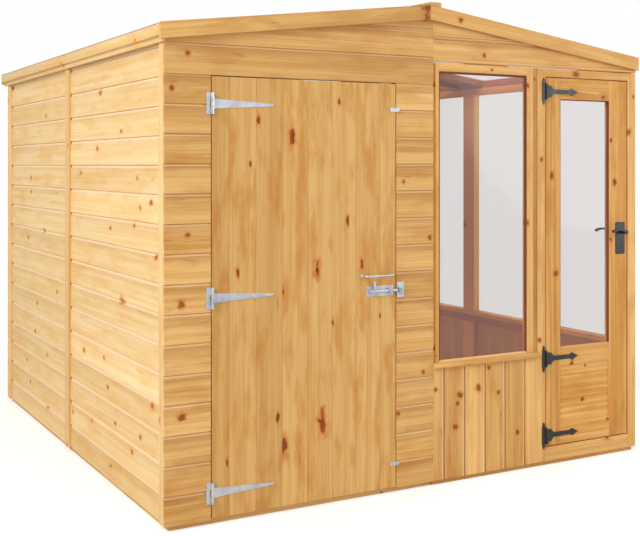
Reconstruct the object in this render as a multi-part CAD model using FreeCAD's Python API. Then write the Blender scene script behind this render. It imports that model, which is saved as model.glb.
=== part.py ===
# A combination greenhouse shed: a boarded tool shed on the left and a glazed
# greenhouse on the right, under one shallow apex roof, with a door to each half.
#
# Built in millimetres from the left front corner at ground level: X runs along the
# front, Y runs back and Z is up. Each piece is moved to the centre of the plan when
# it is written, so the model's origin lies on the ground below the middle.
import FreeCAD
import Part
import math
import os

# Whole building
shed_width = 1238.0
greenhouse_width = 1202.0
depth = 2442.0
shed_side_join = 1254.0
greenhouse_side_join = 1211.0
wall_top = 1842.0
eave_overhang = 24.0
ridge_from_join = 30.0
ridge_rise = 150.0
left_eave_rise = 66.0
right_eave_rise = 72.0
front_overhang = 8.0
rear_overhang = 38.0

# Timber and sheet sections
board = 12.0
stud = 28.0
frame = 40.0
front_frame = 28.0
stile = 75.0
middle_stile = 48.0
strip_width = 57.0
barge_depth = 62.0
barge_thick = 15.0
fascia_depth = 44.0
fascia_drop = 5.0
eaves_batten_drop = 22.0
eaves_batten_lap = 20.0
felt = 3.0
deck = 12.0
rafter_depth = 50.0
rafter_width = 40.0
glass_rafter_depth = 34.0
glass_rafter_offset = 96.0
purlin_width = 28.0
purlin_depth = 40.0
pane = 4.0
pane_inset = 9.0
side_pane_inset = 3.0
roof_pane_recess = 33.0
roof_pane_gap = 2.0
ridge_beam_width = 36.0
ridge_beam_depth = 90.0
cap_left = 106.0
cap_right = 55.0
cap_thick = 12.0
cap_nosing = 2.0

# Floor and ground plates
floor_setback = 6.0
bearer_width = 45.0
bearer_height = 36.0
bearer_bays = 3
floor_boards = 12.0
base_height = 20.0
plate_width = 40.0

# Shed front and its door
left_of_shed_door = 191.0
right_of_shed_door = 191.0
above_shed_door = 122.0
door_gap = 5.0
ledge_width = 90.0
ledge_thick = 22.0
ledge_inset = 36.0

# Greenhouse front and its door
join_stile = 30.0
window_stile = 66.0
door_jamb = 44.0
door_width = 520.0
corner_post = 50.0
foot_width = 124.0
head_drop = 22.0
head_depth = 40.0
sill_bottom = 501.0
sill_thick = 24.0
sill_nosing = 16.0
sill_rail = 40.0
threshold_top = 84.0
bottom_rail = 42.0
lead_gap = 8.0
leaf_rail = 95.0
hinge_stile = 86.0
lock_stile = 114.0
mid_rail = 84.0
mid_rail_lift = 6.0
leaf_panel = 16.0

# Shed door ironwork
iron = 2.5
shed_pin_inset = 4.0
knuckle_radius = 6.5
knuckle_standoff = 1.5
knuckle_height = 27.0
knuckle_gap = 0.5
pin_radius = 2.5
strap_clearance = 1.0
low_hinge_up = 98.0
top_hinge_down = 104.0
t_plate_width = 16.0
t_plate_height = 84.0
t_strap_length = 260.0
t_strap_root = 38.0
t_strap_tip = 10.0
pull_from_edge = 7.0
pull_length = 172.0
pull_z = 917.0
pull_reach = 27.0
pull_radius = 4.5
pull_foot_length = 36.0
pull_foot_height = 14.0
bolt_below_pull = 65.0
bolt_from_edge = 18.0
bolt_plate_length = 132.0
bolt_plate_height = 43.0
bolt_radius = 6.0
bolt_length = 135.0
bolt_knob_height = 42.0
bolt_knob_radius = 5.0
guide_width = 14.0
guide_wall = 3.0
guide_clearance = 0.6
keeper_clearance = 1.2
keeper_height = 65.0
keeper_width = 36.0
keeper_inset = 1.0
button_length = 46.0
button_width = 16.0
button_thick = 3.0
button_head = 1.5
button_lap = 13.0
button_gap = 0.3
low_button_up = 99.0
top_button_down = 108.0

# Greenhouse door ironwork
gh_iron = 4.0
gh_knuckle_radius = 4.5
gh_knuckle_standoff = 1.5
gh_knuckle_height = 24.0
gh_low_hinge_up = 49.0
gh_top_hinge_down = 62.0
gh_plate_width = 17.0
gh_plate_height = 123.0
gh_finial_height = 22.0
gh_finial_radius = 5.0
gh_neck_width = 6.0
gh_block_width = 34.0
gh_block_height = 54.0
gh_block_step = 8.0
gh_strap_root = 22.0
gh_strap_height = 18.0
gh_arrow_height = 34.0
gh_arrow_length = 49.0
gh_barb_sweep = 13.0
gh_hinge_length = 188.0
lock_plate_width = 58.0
lock_plate_height = 152.0
lock_plate_bottom = 951.0
lock_plate_thick = 3.0
lock_setback = 44.0
spindle_up = 106.0
lever_length = 88.0
lever_reach = 46.0
lever_neck_radius = 9.0
lever_root = 16.0
lever_waist = 9.0
lever_thick = 10.0
lever_crest = 13.0
lever_tip_rise = 6.0
lever_tip_radius = 6.5
lever_gap = 0.3

# Places worked out from the sizes above
width = shed_width + greenhouse_width
left_face = board
floor_left = left_face + board
inner_left = floor_left + stud
side_inner = width - frame
rear_inner = depth - frame
middle_y = depth / 2
deck_front = -front_overhang
deck_rear = depth + rear_overhang
floor_front = board + floor_setback
floor_rear = depth - floor_front
floor_top = bearer_height + floor_boards
ridge_x = shed_width - ridge_from_join
head_top = wall_top - head_drop
window_top = head_top - head_depth
sill_top = sill_bottom + sill_thick
left_eave_top = wall_top + left_eave_rise
right_eave_top = head_top + right_eave_rise
ridge_top = left_eave_top + ridge_rise
shed_door_left = left_of_shed_door
shed_door_right = shed_width - right_of_shed_door
shed_door_top = wall_top - above_shed_door
door_right = width - corner_post
door_left = door_right - door_width
jamb_left = door_left - door_jamb
window_left = shed_width + join_stile
window_right = jamb_left - window_stile
foot_left = door_left - foot_width
shed_axis_x = shed_door_left + shed_pin_inset
shed_axis_y = -(knuckle_radius + knuckle_standoff)
gh_axis_x = door_left + door_gap / 2
gh_axis_y = -(gh_knuckle_radius + gh_knuckle_standoff)
shed_leaf = (shed_door_left + door_gap, shed_door_right - door_gap,
             base_height + door_gap, shed_door_top - door_gap)
gh_leaf = (door_left + door_gap, door_right - lead_gap,
           threshold_top + door_gap, window_top - door_gap)
mid_rail_top = sill_top + mid_rail_lift
mid_rail_bottom = mid_rail_top - mid_rail


def vector(x, y, z):
    return FreeCAD.Vector(x, y, z)


def box(x0, x1, y0, y1, z0, z1):
    return Part.makeBox(x1 - x0, y1 - y0, z1 - z0, vector(x0, y0, z0))


def face_of(points):
    return Part.Face(Part.makePolygon(points + points[:1]))


def prism_along_y(outline, y0, y1):
    """A closed outline of (x, z) points drawn out from y0 to y1."""
    return face_of([vector(x, y0, z) for x, z in outline]).extrude(vector(0, y1 - y0, 0))


def cylinder_z(radius, x, y, z0, z1):
    return Part.makeCylinder(radius, z1 - z0, vector(x, y, z0), vector(0, 0, 1))


def cylinder_y(radius, x, z, y0, y1):
    return Part.makeCylinder(radius, y1 - y0, vector(x, y0, z), vector(0, 1, 0))


def cylinder_x(radius, y, z, x0, x1):
    return Part.makeCylinder(radius, x1 - x0, vector(x0, y, z), vector(1, 0, 0))


def joined(*solids):
    whole = solids[0].multiFuse(list(solids[1:])) if len(solids) > 1 else solids[0]
    return whole.removeSplitter()


def save(name, *solids):
    """Write one named piece, or a set of like pieces, centred on the plan."""
    shape = solids[0].copy() if len(solids) == 1 else Part.makeCompound(list(solids))
    shape.translate(vector(-width / 2, -depth / 2, 0))
    shape.exportStep("parts/" + name + ".step")


def roof_top(x):
    """Height of the roof's upper surface at x."""
    if x <= ridge_x:
        run = ridge_x + eave_overhang
        return left_eave_top + (ridge_top - left_eave_top) * (x + eave_overhang) / run
    run = width - ridge_x
    return right_eave_top + (ridge_top - right_eave_top) * (width - x) / run


def under_deck(x):
    return roof_top(x) - felt - deck


def under_glass(x):
    return roof_top(x) - roof_pane_recess - pane


def roof_strip(x0, x1, y0, y1, top, thickness):
    """A strip that follows one roof slope, its top at top(x), of a vertical thickness."""
    outline = [(x0, top(x0) - thickness), (x1, top(x1) - thickness), (x1, top(x1)), (x0, top(x0))]
    return prism_along_y(outline, y0, y1)


def shed_floor():
    front_joist = box(floor_left, shed_width, floor_front, floor_front + stud, 0, bearer_height)
    rear_joist = box(floor_left, shed_width, floor_rear - stud, floor_rear, 0, bearer_height)
    save("floor_end_joists", front_joist, rear_joist)
    bearers = []
    bay = (shed_width - bearer_width - floor_left) / bearer_bays
    for step in range(bearer_bays + 1):
        x = floor_left + bay * step
        bearers.append(box(x, x + bearer_width, floor_front + stud, floor_rear - stud,
                           0, bearer_height))
    save("floor_bearers", *bearers)
    save("shed_floor", box(floor_left, shed_width, floor_front, floor_rear, bearer_height, floor_top))


def shed_cladding():
    save("shed_wall_left_front",
         box(left_face, floor_left, board, shed_side_join, base_height, wall_top))
    save("shed_wall_left_rear",
         box(left_face, floor_left, shed_side_join, depth - board, base_height, wall_top))
    save("shed_wall_front_left", box(0, shed_door_left, 0, board, base_height, shed_door_top))
    save("shed_wall_front_right", box(shed_door_right, shed_width, 0, board, base_height, shed_door_top))
    ridge_step = [(shed_width, under_glass(shed_width)), (ridge_x, under_glass(ridge_x)),
                  (ridge_x, under_deck(ridge_x)), (0, under_deck(0))]
    gable = [(0, shed_door_top), (shed_width, shed_door_top)] + ridge_step
    save("shed_front_gable", prism_along_y(gable, 0, board))
    rear = [(0, base_height), (shed_width, base_height)] + ridge_step
    save("shed_wall_rear", prism_along_y(rear, depth - board, depth))
    strips = []
    for y0, y1 in ((board, strip_width),
                   (shed_side_join - strip_width / 2, shed_side_join + strip_width / 2),
                   (depth - strip_width, depth - board)):
        strips.append(box(0, left_face, y0, y1, base_height, wall_top))
    save("shed_cover_strips", *strips)


def shed_framing():
    studs = []
    low = floor_top + stud
    high = wall_top - stud
    for y0, y1 in ((frame, frame + stud), (shed_side_join - stud, shed_side_join + stud),
                   (rear_inner - stud, rear_inner)):
        studs.append(box(floor_left, inner_left, y0, y1, low, high))
    for x in (shed_door_left - stud, shed_door_right, shed_width - stud):
        studs.append(box(x, x + stud, board, frame, floor_top, high))
    for x in ((floor_left + shed_width) / 2, shed_width - stud):
        studs.append(box(x, x + stud, rear_inner, depth - board, low, high))
    save("shed_wall_studs", *studs)
    left_rails = [box(floor_left, inner_left, frame, rear_inner, floor_top, low),
                  box(floor_left, inner_left, frame, rear_inner, high, wall_top)]
    front_rails = [box(floor_left, shed_width, board, frame, high, wall_top),
                   box(shed_door_left, shed_door_right, board, frame, shed_door_top, shed_door_top + stud)]
    rear_rails = [box(floor_left, shed_width, rear_inner, depth - board, floor_top, low),
                  box(floor_left, shed_width, rear_inner, depth - board, high, wall_top)]
    save("shed_side_rails", *left_rails)
    save("shed_end_rails", *front_rails, *rear_rails)


def greenhouse_base():
    save("greenhouse_end_plates",
         box(shed_width, width - board, board, board + plate_width, 0, base_height),
         box(shed_width, width - board, depth - board - plate_width, depth - board, 0, base_height))
    save("greenhouse_side_plate",
         box(width - board - plate_width, width - board, board + plate_width,
             depth - board - plate_width, 0, base_height))


def greenhouse_walls():
    low_rail_top = base_height + bottom_rail
    sill_rail_bottom = sill_bottom - sill_rail
    join = greenhouse_side_join
    stiles = [
        box(shed_width, window_left, 0, front_frame, sill_top, head_top),
        box(window_right, jamb_left, 0, front_frame, sill_top, head_top),
        box(shed_width, window_left, board, front_frame, low_rail_top, sill_rail_bottom),
    ]
    for x0, x1 in ((shed_width, shed_width + stile),
                   ((shed_width + width - stile) / 2, (shed_width + width + stile) / 2),
                   (width - stile, width)):
        stiles.append(box(x0, x1, rear_inner, depth, sill_top, head_top))
        stiles.append(box(x0, x1, rear_inner, depth - board, low_rail_top, sill_rail_bottom))
    for y0, y1 in ((front_frame, frame + stile), (join - middle_stile, join + middle_stile),
                   (rear_inner - stile, rear_inner)):
        stiles.append(box(side_inner, width, y0, y1, sill_top, window_top))
        stiles.append(box(side_inner, width - board, y0, y1, low_rail_top, sill_rail_bottom))
    save("greenhouse_stiles", *stiles)

    middle = (shed_width + width) / 2
    heads = [box(window_left, window_right, 0, front_frame, window_top, head_top),
             box(shed_width + stile, middle - stile / 2, rear_inner, depth, window_top, head_top),
             box(middle + stile / 2, width - stile, rear_inner, depth, window_top, head_top),
             box(side_inner, width, front_frame, rear_inner, window_top, head_top)]
    save("greenhouse_heads", *heads)
    rails = []
    for z0, z1 in ((base_height, low_rail_top), (sill_rail_bottom, sill_bottom)):
        rails.append(box(shed_width, foot_left, board, front_frame, z0, z1))
        rails.append(box(shed_width, width, rear_inner, depth - board, z0, z1))
        rails.append(box(side_inner, width - board, front_frame, rear_inner, z0, z1))
    save("greenhouse_bottom_rails", *rails)
    save("greenhouse_sills",
         box(shed_width, jamb_left, -sill_nosing, front_frame, sill_bottom, sill_top),
         box(side_inner, width + sill_nosing, front_frame, rear_inner, sill_bottom, sill_top))
    save("greenhouse_rear_sill",
         box(shed_width, width, rear_inner, depth + sill_nosing, sill_bottom, sill_top))
    save("greenhouse_boards",
         box(shed_width, foot_left, 0, board, base_height, sill_bottom),
         box(width - board, width, front_frame, rear_inner, base_height, sill_bottom))
    save("greenhouse_rear_boards",
         box(shed_width, width, depth - board, depth, base_height, sill_bottom))
    panes = [box(window_left, window_right, pane_inset, pane_inset + pane, sill_top, window_top)]
    for x0, x1 in ((shed_width + stile, middle - stile / 2), (middle + stile / 2, width - stile)):
        panes.append(box(x0, x1, depth - pane_inset - pane, depth - pane_inset, sill_top, window_top))
    for y0, y1 in ((frame + stile, join - middle_stile), (join + middle_stile, rear_inner - stile)):
        panes.append(box(width - side_pane_inset - pane, width - side_pane_inset, y0, y1,
                         sill_top, window_top))
    save("greenhouse_panes", *panes)
    save("greenhouse_door_posts",
         box(jamb_left, door_left, 0, front_frame, sill_bottom, head_top),
         box(door_right, width, 0, front_frame, base_height, head_top))
    save("greenhouse_door_foot", box(foot_left, door_left, 0, front_frame, base_height, sill_bottom))
    save("greenhouse_door_threshold",
         box(door_left, door_right, 0, front_frame, base_height, threshold_top))
    save("greenhouse_door_head", box(door_left, door_right, 0, front_frame, window_top, head_top))
    gable = [(shed_width, head_top), (width, head_top), (width, under_glass(width)),
             (shed_width, under_glass(shed_width))]
    save("greenhouse_gables", prism_along_y(gable, 0, board),
         prism_along_y(gable, depth - board, depth))


def roof():
    left_plate = [(floor_left, wall_top), (inner_left, wall_top),
                  (inner_left, under_deck(inner_left)), (floor_left, under_deck(floor_left))]
    right_plate = [(side_inner, head_top), (width, head_top),
                   (width, under_glass(width)), (side_inner, under_glass(side_inner))]
    save("wall_plates", prism_along_y(left_plate, board, depth - board),
         prism_along_y(right_plate, board, depth - board))
    beam_left = ridge_x - ridge_beam_width / 2
    beam_right = ridge_x + ridge_beam_width / 2
    beam = [(beam_left, ridge_top - ridge_beam_depth), (beam_right, ridge_top - ridge_beam_depth),
            (beam_right, under_glass(beam_right)), (ridge_x, under_glass(ridge_x)),
            (ridge_x, under_deck(ridge_x)), (beam_left, under_deck(beam_left))]
    save("ridge_beam", prism_along_y(beam, board, depth - board))

    left_rafters = []
    for y0, y1 in ((board, frame), (middle_y - rafter_width / 2, middle_y + rafter_width / 2),
                   (rear_inner, depth - board)):
        left_rafters.append(roof_strip(inner_left, beam_left, y0, y1, under_deck, rafter_depth))
    save("rafters_left", *left_rafters)
    right_rafters = []
    near = greenhouse_side_join - glass_rafter_offset
    far = greenhouse_side_join + glass_rafter_offset
    for y0, y1 in ((board, frame), (near - rafter_width, near), (far, far + rafter_width),
                   (rear_inner, depth - board)):
        right_rafters.append(roof_strip(beam_right, side_inner, y0, y1, under_glass, glass_rafter_depth))
    save("rafters_right", *right_rafters)

    purlins = []
    for third in (1, 2):
        x = inner_left + (beam_left - inner_left) * third / 3 - purlin_width / 2
        for y0, y1 in ((frame, middle_y - rafter_width / 2), (middle_y + rafter_width / 2, rear_inner)):
            purlins.append(roof_strip(x, x + purlin_width, y0, y1, under_deck, purlin_depth))
    save("shed_roof_purlins", *purlins)

    eave = -eave_overhang + board
    save("shed_roof_deck", roof_strip(eave, ridge_x, deck_front, deck_rear,
                                      lambda x: roof_top(x) - felt, deck))
    save("shed_roof_felt", roof_strip(eave, ridge_x, deck_front, deck_rear, roof_top, felt))

    quarter = depth / 4
    bars = []
    for y in (quarter, depth - quarter):
        bars.append(roof_strip(beam_right, side_inner, y - purlin_width / 2, y + purlin_width / 2,
                               under_glass, glass_rafter_depth))
    save("greenhouse_roof_bars", *bars)
    joints = [deck_front, quarter, middle_y, depth - quarter, deck_rear]
    panes = []
    for near, far in zip(joints, joints[1:]):
        y0 = near if near == deck_front else near + roof_pane_gap / 2
        y1 = far if far == deck_rear else far - roof_pane_gap / 2
        panes.append(roof_strip(ridge_x, width, y0, y1, lambda x: roof_top(x) - roof_pane_recess, pane))
    save("greenhouse_roof_panes", *panes)

    def barges(x0, x1):
        return [roof_strip(x0, x1, y, y + barge_thick, roof_top, barge_depth)
                for y in (deck_front - barge_thick, deck_rear)]

    save("bargeboards_left", *barges(-eave_overhang, ridge_x))
    save("bargeboards_right", *barges(ridge_x, width))
    fascia_top = roof_top(-eave_overhang) - fascia_drop
    fascia_bottom = fascia_top - fascia_depth
    save("eaves_fascia", joined(
        box(-eave_overhang, eave, deck_front, deck_rear, fascia_bottom, fascia_top),
        box(eave, 0, deck_front, deck_rear, fascia_bottom - eaves_batten_drop,
            fascia_bottom + eaves_batten_lap)))
    cap_start = ridge_x - cap_left
    cap_end = ridge_x + cap_right
    cap_top = ridge_top + cap_thick
    cap = [(cap_start, roof_top(cap_start)), (ridge_x, ridge_top), (cap_end, roof_top(cap_end)),
           (cap_end, cap_top), (ridge_x, cap_top)]
    shell = prism_along_y(cap, deck_front - barge_thick - cap_nosing, deck_rear + barge_thick + cap_nosing)
    packing = roof_strip(ridge_x, cap_end, deck_front, deck_rear, roof_top, roof_pane_recess)
    save("ridge_cap", joined(shell, packing))


def hinge_leaf(side, axis_x, axis_y, z, thickness, radius, knuckle, blades):
    """One leaf of a hinge: its blades and the knuckles that roll round the axis from them.

    side is -1 for the fixed leaf, which has the two outer knuckles and the pin, and 1 for
    the moving leaf, whose middle knuckle is bored to run on that pin.
    """
    reach = radius + 2 * strap_clearance
    half = knuckle / 2
    outer = (half + knuckle_gap, half + knuckle_gap + knuckle)
    spans = [(z - half, z + half)]
    if side < 0:
        spans = [(z - outer[1], z - outer[0]), (z + outer[0], z + outer[1])]
    pieces = list(blades)
    for z0, z1 in spans:
        near, far = sorted((axis_x + side * knuckle_gap, axis_x + side * reach))
        pieces.append(box(near, far, -thickness, 0, z0, z1))
        near, far = sorted((axis_x, axis_x + side * radius))
        pieces.append(box(near, far, axis_y, -thickness / 2, z0, z1))
        pieces.append(cylinder_z(radius, axis_x, axis_y, z0, z1))
    if side < 0:
        pieces.append(cylinder_z(pin_radius, axis_x, axis_y, z - outer[1], z + outer[1]))
        return joined(*pieces)
    bore = cylinder_z(pin_radius + knuckle_gap, axis_x, axis_y, z - knuckle, z + knuckle)
    return joined(*pieces).cut(bore)


def shed_door():
    left, right, bottom, top = shed_leaf
    save("shed_door_boards", box(left, right, 0, board, bottom, top))
    hinge_heights = (bottom + low_hinge_up, (bottom + low_hinge_up + top - top_hinge_down) / 2,
                     top - top_hinge_down)
    ledge_left = left + ledge_inset
    ledge_right = right - ledge_inset
    ledge_bottoms = [max(z - ledge_width / 2, floor_top + door_gap) for z in hinge_heights]
    save("shed_door_ledges", *[box(ledge_left, ledge_right, board, board + ledge_thick, z, z + ledge_width)
                               for z in ledge_bottoms])
    braces = []
    for lower, upper in zip(ledge_bottoms, ledge_bottoms[1:]):
        outline = [(ledge_left, lower + ledge_width), (ledge_left + ledge_width, lower + ledge_width),
                   (ledge_right, upper), (ledge_right - ledge_width, upper)]
        braces.append(prism_along_y(outline, board, board + ledge_thick))
    save("shed_door_braces", *braces)

    plates = []
    straps = []
    for z in hinge_heights:
        edge = shed_axis_x - knuckle_radius - strap_clearance
        plate = box(edge - t_plate_width, edge, -iron, 0, z - t_plate_height / 2, z + t_plate_height / 2)
        plates.append(hinge_leaf(-1, shed_axis_x, shed_axis_y, z, iron,
                                 knuckle_radius, knuckle_height, [plate]))
        root = shed_axis_x + knuckle_radius + strap_clearance
        nose = t_strap_tip / 2
        tip = root + t_strap_length - nose
        outline = [(root, z - t_strap_root / 2), (tip, z - nose),
                   (tip, z + nose), (root, z + t_strap_root / 2)]
        blades = [prism_along_y(outline, -iron, 0), cylinder_y(nose, tip, z, -iron, 0)]
        straps.append(hinge_leaf(1, shed_axis_x, shed_axis_y, z, iron,
                                 knuckle_radius, knuckle_height, blades))
    save("shed_hinge_plates", *plates)
    save("shed_hinge_straps", *straps)


def leaf_foot(outer, inner, z):
    """A flat foot on the door with two curved sides that meet in points."""
    middle = (outer + inner) / 2
    ends = (vector(outer, 0, z), vector(inner, 0, z))
    sides = [Part.Arc(ends[0], vector(middle, 0, z + pull_foot_height / 2), ends[1]).toShape(),
             Part.Arc(ends[1], vector(middle, 0, z - pull_foot_height / 2), ends[0]).toShape()]
    return Part.Face(Part.Wire(sides)).extrude(vector(0, -iron, 0))


def pull_handle():
    """A round bar bowed out from the door between two leaf-shaped feet."""
    right = shed_leaf[1] - pull_from_edge
    left = right - pull_length
    bar_y = -pull_reach
    bend = pull_radius * 2.5
    sagitta = bend * (1 - math.cos(math.pi / 4))
    route = []
    for end, inward in ((left, 1), (right, -1)):
        x = end + inward * pull_foot_length / 2
        foot = vector(x, 0, pull_z)
        below = vector(x, bar_y + bend, pull_z)
        crest = vector(x + inward * sagitta, bar_y + sagitta, pull_z)
        beside = vector(x + inward * bend, bar_y, pull_z)
        route.append((Part.makeLine(foot, below), Part.Arc(below, crest, beside).toShape(), beside, foot))
    across = Part.makeLine(route[0][2], route[1][2])
    path = Part.Wire([route[0][0], route[0][1], across, route[1][1], route[1][0]])
    section = Part.Wire(Part.makeCircle(pull_radius, route[0][3], vector(0, -1, 0)))
    bar = path.makePipeShell([section], True, False)
    feet = [leaf_foot(left, left + pull_foot_length, pull_z),
            leaf_foot(right, right - pull_foot_length, pull_z)]
    save("shed_pull_handle", joined(bar, *feet))


def bolt():
    """A sliding bolt on the door, drawn back, and its staple on the wall beside the door."""
    bolt_z = pull_z - bolt_below_pull
    rod_y = -iron - bolt_radius - guide_clearance
    plate_right = shed_leaf[1] + door_gap - bolt_from_edge
    plate_left = plate_right - bolt_plate_length
    outer = bolt_radius + guide_clearance + guide_wall
    plate = box(plate_left, plate_right, -iron, 0,
                bolt_z - bolt_plate_height / 2, bolt_z + bolt_plate_height / 2)
    guides = [box(x, x + guide_width, rod_y - outer, 0, bolt_z - outer, bolt_z + outer)
              for x in (plate_left + guide_width, plate_right - 2 * guide_width)]
    bore = cylinder_x(bolt_radius + guide_clearance, rod_y, bolt_z, plate_left - iron, plate_right + iron)
    save("shed_bolt_base", joined(plate, *guides).cut(bore))
    rod_end = shed_leaf[1]
    rod = cylinder_x(bolt_radius, rod_y, bolt_z, rod_end - bolt_length, rod_end)
    knob_x = plate_left + 2 * guide_width + bolt_radius
    knob = cylinder_z(bolt_knob_radius, knob_x, rod_y, bolt_z, bolt_z + bolt_knob_height)
    save("shed_bolt_rod", joined(rod, knob))

    keeper_left = shed_door_right + keeper_inset
    staple_left = keeper_left + (keeper_width - guide_width) / 2
    room = bolt_radius + keeper_clearance
    plate = box(keeper_left, keeper_left + keeper_width, -iron, 0,
                bolt_z - keeper_height / 2, bolt_z + keeper_height / 2)
    staple = box(staple_left, staple_left + guide_width, rod_y - room - guide_wall, -iron,
                 bolt_z - room - guide_wall, bolt_z + room + guide_wall)
    passage = box(staple_left, staple_left + guide_width, rod_y - room, -iron, bolt_z - room, bolt_z + room)
    save("shed_bolt_keeper", joined(plate, staple.cut(passage)))


def turn_buttons():
    right = shed_door_right + button_lap
    left = right - button_length
    radius = button_width / 2
    y1 = -button_gap
    y0 = y1 - button_thick
    heights = (shed_leaf[2] + low_button_up, shed_leaf[3] - top_button_down)
    for name, z in zip(("turn_button_lower", "turn_button_upper"), heights):
        blade = box(left + radius, right - radius, y0, y1, z - radius, z + radius)
        ends = [cylinder_y(radius, x, z, y0, y1) for x in (left + radius, right - radius)]
        head = cylinder_y(radius / 2, (left + right - button_lap) / 2, z, y0 - button_head, y0)
        save(name, joined(blade, *ends, head))


def greenhouse_door():
    left, right, bottom, top = gh_leaf
    inner_left_edge = left + hinge_stile
    inner_right_edge = right - lock_stile
    save("greenhouse_door_stiles", box(left, inner_left_edge, 0, front_frame, bottom, top),
         box(inner_right_edge, right, 0, front_frame, bottom, top))
    rails = ((bottom, bottom + leaf_rail), (mid_rail_bottom, mid_rail_top), (top - leaf_rail, top))
    save("greenhouse_door_rails", *[box(inner_left_edge, inner_right_edge, 0, front_frame, z0, z1)
                                    for z0, z1 in rails])
    panel_front = (front_frame - leaf_panel) / 2
    save("greenhouse_door_panel", box(inner_left_edge, inner_right_edge, panel_front,
                                      panel_front + leaf_panel, bottom + leaf_rail, mid_rail_bottom))
    pane_front = (front_frame - pane) / 2
    save("greenhouse_door_pane", box(inner_left_edge, inner_right_edge, pane_front,
                                     pane_front + pane, mid_rail_top, top - leaf_rail))

    plates = []
    straps = []
    for z in (bottom + gh_low_hinge_up, (mid_rail_bottom + mid_rail_top) / 2, top - gh_top_hinge_down):
        plates.append(hinge_leaf(-1, gh_axis_x, gh_axis_y, z, gh_iron,
                                 gh_knuckle_radius, gh_knuckle_height, plate_with_finials(z)))
        straps.append(hinge_leaf(1, gh_axis_x, gh_axis_y, z, gh_iron,
                                 gh_knuckle_radius, gh_knuckle_height, arrow_strap(z)))
    save("greenhouse_hinge_plates", *plates)
    save("greenhouse_hinge_straps", *straps)


def plate_with_finials(z):
    """The fixed plate of an antique hinge: a bar that tapers to a bulb and a point at each end."""
    edge = gh_axis_x - gh_knuckle_radius - strap_clearance
    far = edge - gh_plate_width
    middle = (edge + far) / 2
    half = gh_plate_height / 2
    shoulder = half - gh_finial_height
    neck = gh_neck_width / 2
    pieces = [box(far, edge, -gh_iron, 0, z - shoulder, z + shoulder)]
    for up in (-1, 1):
        bulb = z + up * (half - 2 * gh_finial_radius)
        taper = [(far, z + up * shoulder), (edge, z + up * shoulder),
                 (middle + neck, bulb), (middle - neck, bulb)]
        point = [(middle - gh_finial_radius, bulb), (middle + gh_finial_radius, bulb),
                 (middle, z + up * half)]
        pieces.append(prism_along_y(taper, -gh_iron, 0))
        pieces.append(prism_along_y(point, -gh_iron, 0))
        pieces.append(cylinder_y(gh_finial_radius, middle, bulb, -gh_iron, 0))
    return pieces


def arrow_strap(z):
    """The moving leaf of an antique hinge: a stepped block, a tapering strap and a barbed arrowhead."""
    root = gh_axis_x + gh_knuckle_radius + strap_clearance
    tip = root + gh_hinge_length
    barb = tip - gh_arrow_length
    half = gh_block_height / 2
    step = gh_block_step
    block_end = root + gh_block_width
    wide = box(root, block_end, -gh_iron, 0, z - half + step, z + half - step)
    tall = box(root + step, block_end - step, -gh_iron, 0, z - half, z + half)
    strap = [(block_end, z - gh_strap_root / 2), (barb, z - gh_strap_height / 2),
             (barb, z + gh_strap_height / 2), (block_end, z + gh_strap_root / 2)]
    widest = barb + gh_barb_sweep
    arrow = [(barb, z - gh_strap_height / 2), (widest, z - gh_arrow_height / 2), (tip, z),
             (widest, z + gh_arrow_height / 2), (barb, z + gh_strap_height / 2)]
    return [wide, tall, prism_along_y(strap, -gh_iron, 0), prism_along_y(arrow, -gh_iron, 0)]


def lever_grip(hub_x, hub_z, y):
    """A waved lever that runs left from its hub, over a crest, to a round tip."""
    root = lever_root / 2
    waist = lever_waist / 2
    tip = lever_tip_radius
    crest_x = hub_x - lever_length / 2
    crest_z = hub_z + lever_crest
    tip_x = hub_x - lever_length + tip
    tip_z = hub_z + lever_tip_rise
    corners = [vector(hub_x, y, hub_z + root), vector(tip_x, y, tip_z + tip),
               vector(tip_x, y, tip_z - tip), vector(hub_x, y, hub_z - root)]
    edges = [Part.Arc(corners[0], vector(crest_x, y, crest_z + waist), corners[1]).toShape(),
             Part.makeLine(corners[1], corners[2]),
             Part.Arc(corners[2], vector(crest_x, y, crest_z - waist), corners[3]).toShape(),
             Part.makeLine(corners[3], corners[0])]
    blade = Part.Face(Part.Wire(edges)).extrude(vector(0, lever_thick, 0))
    return joined(blade, cylinder_y(tip, tip_x, tip_z, y, y + lever_thick))


def lever_handle():
    """A lock plate and a waved lever on each side of the greenhouse door's closing stile."""
    lock_x = gh_leaf[1] - lock_setback
    low = lock_plate_bottom
    high = low + lock_plate_height
    half = lock_plate_width / 2
    save("greenhouse_lock_plates", box(lock_x - half, lock_x + half, -lock_plate_thick, 0, low, high),
         box(lock_x - half, lock_x + half, front_frame, front_frame + lock_plate_thick, low, high))
    spindle_z = low + spindle_up
    levers = []
    for side, face in ((-1, 0), (1, front_frame)):
        near = face + side * (lock_plate_thick + lever_gap)
        far = face + side * lever_reach
        neck = cylinder_y(lever_neck_radius, lock_x, spindle_z, min(near, far), max(near, far))
        grip = lever_grip(lock_x, spindle_z, min(far, far - side * lever_thick))
        levers.append(joined(neck, grip))
    save("greenhouse_door_levers", *levers)


os.makedirs("parts", exist_ok=True)
shed_floor()
shed_cladding()
shed_framing()
greenhouse_base()
greenhouse_walls()
roof()
shed_door()
pull_handle()
bolt()
turn_buttons()
greenhouse_door()
lever_handle()
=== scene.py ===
import math
import random

import bmesh
import bpy
from mathutils import Matrix, Vector


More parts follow.
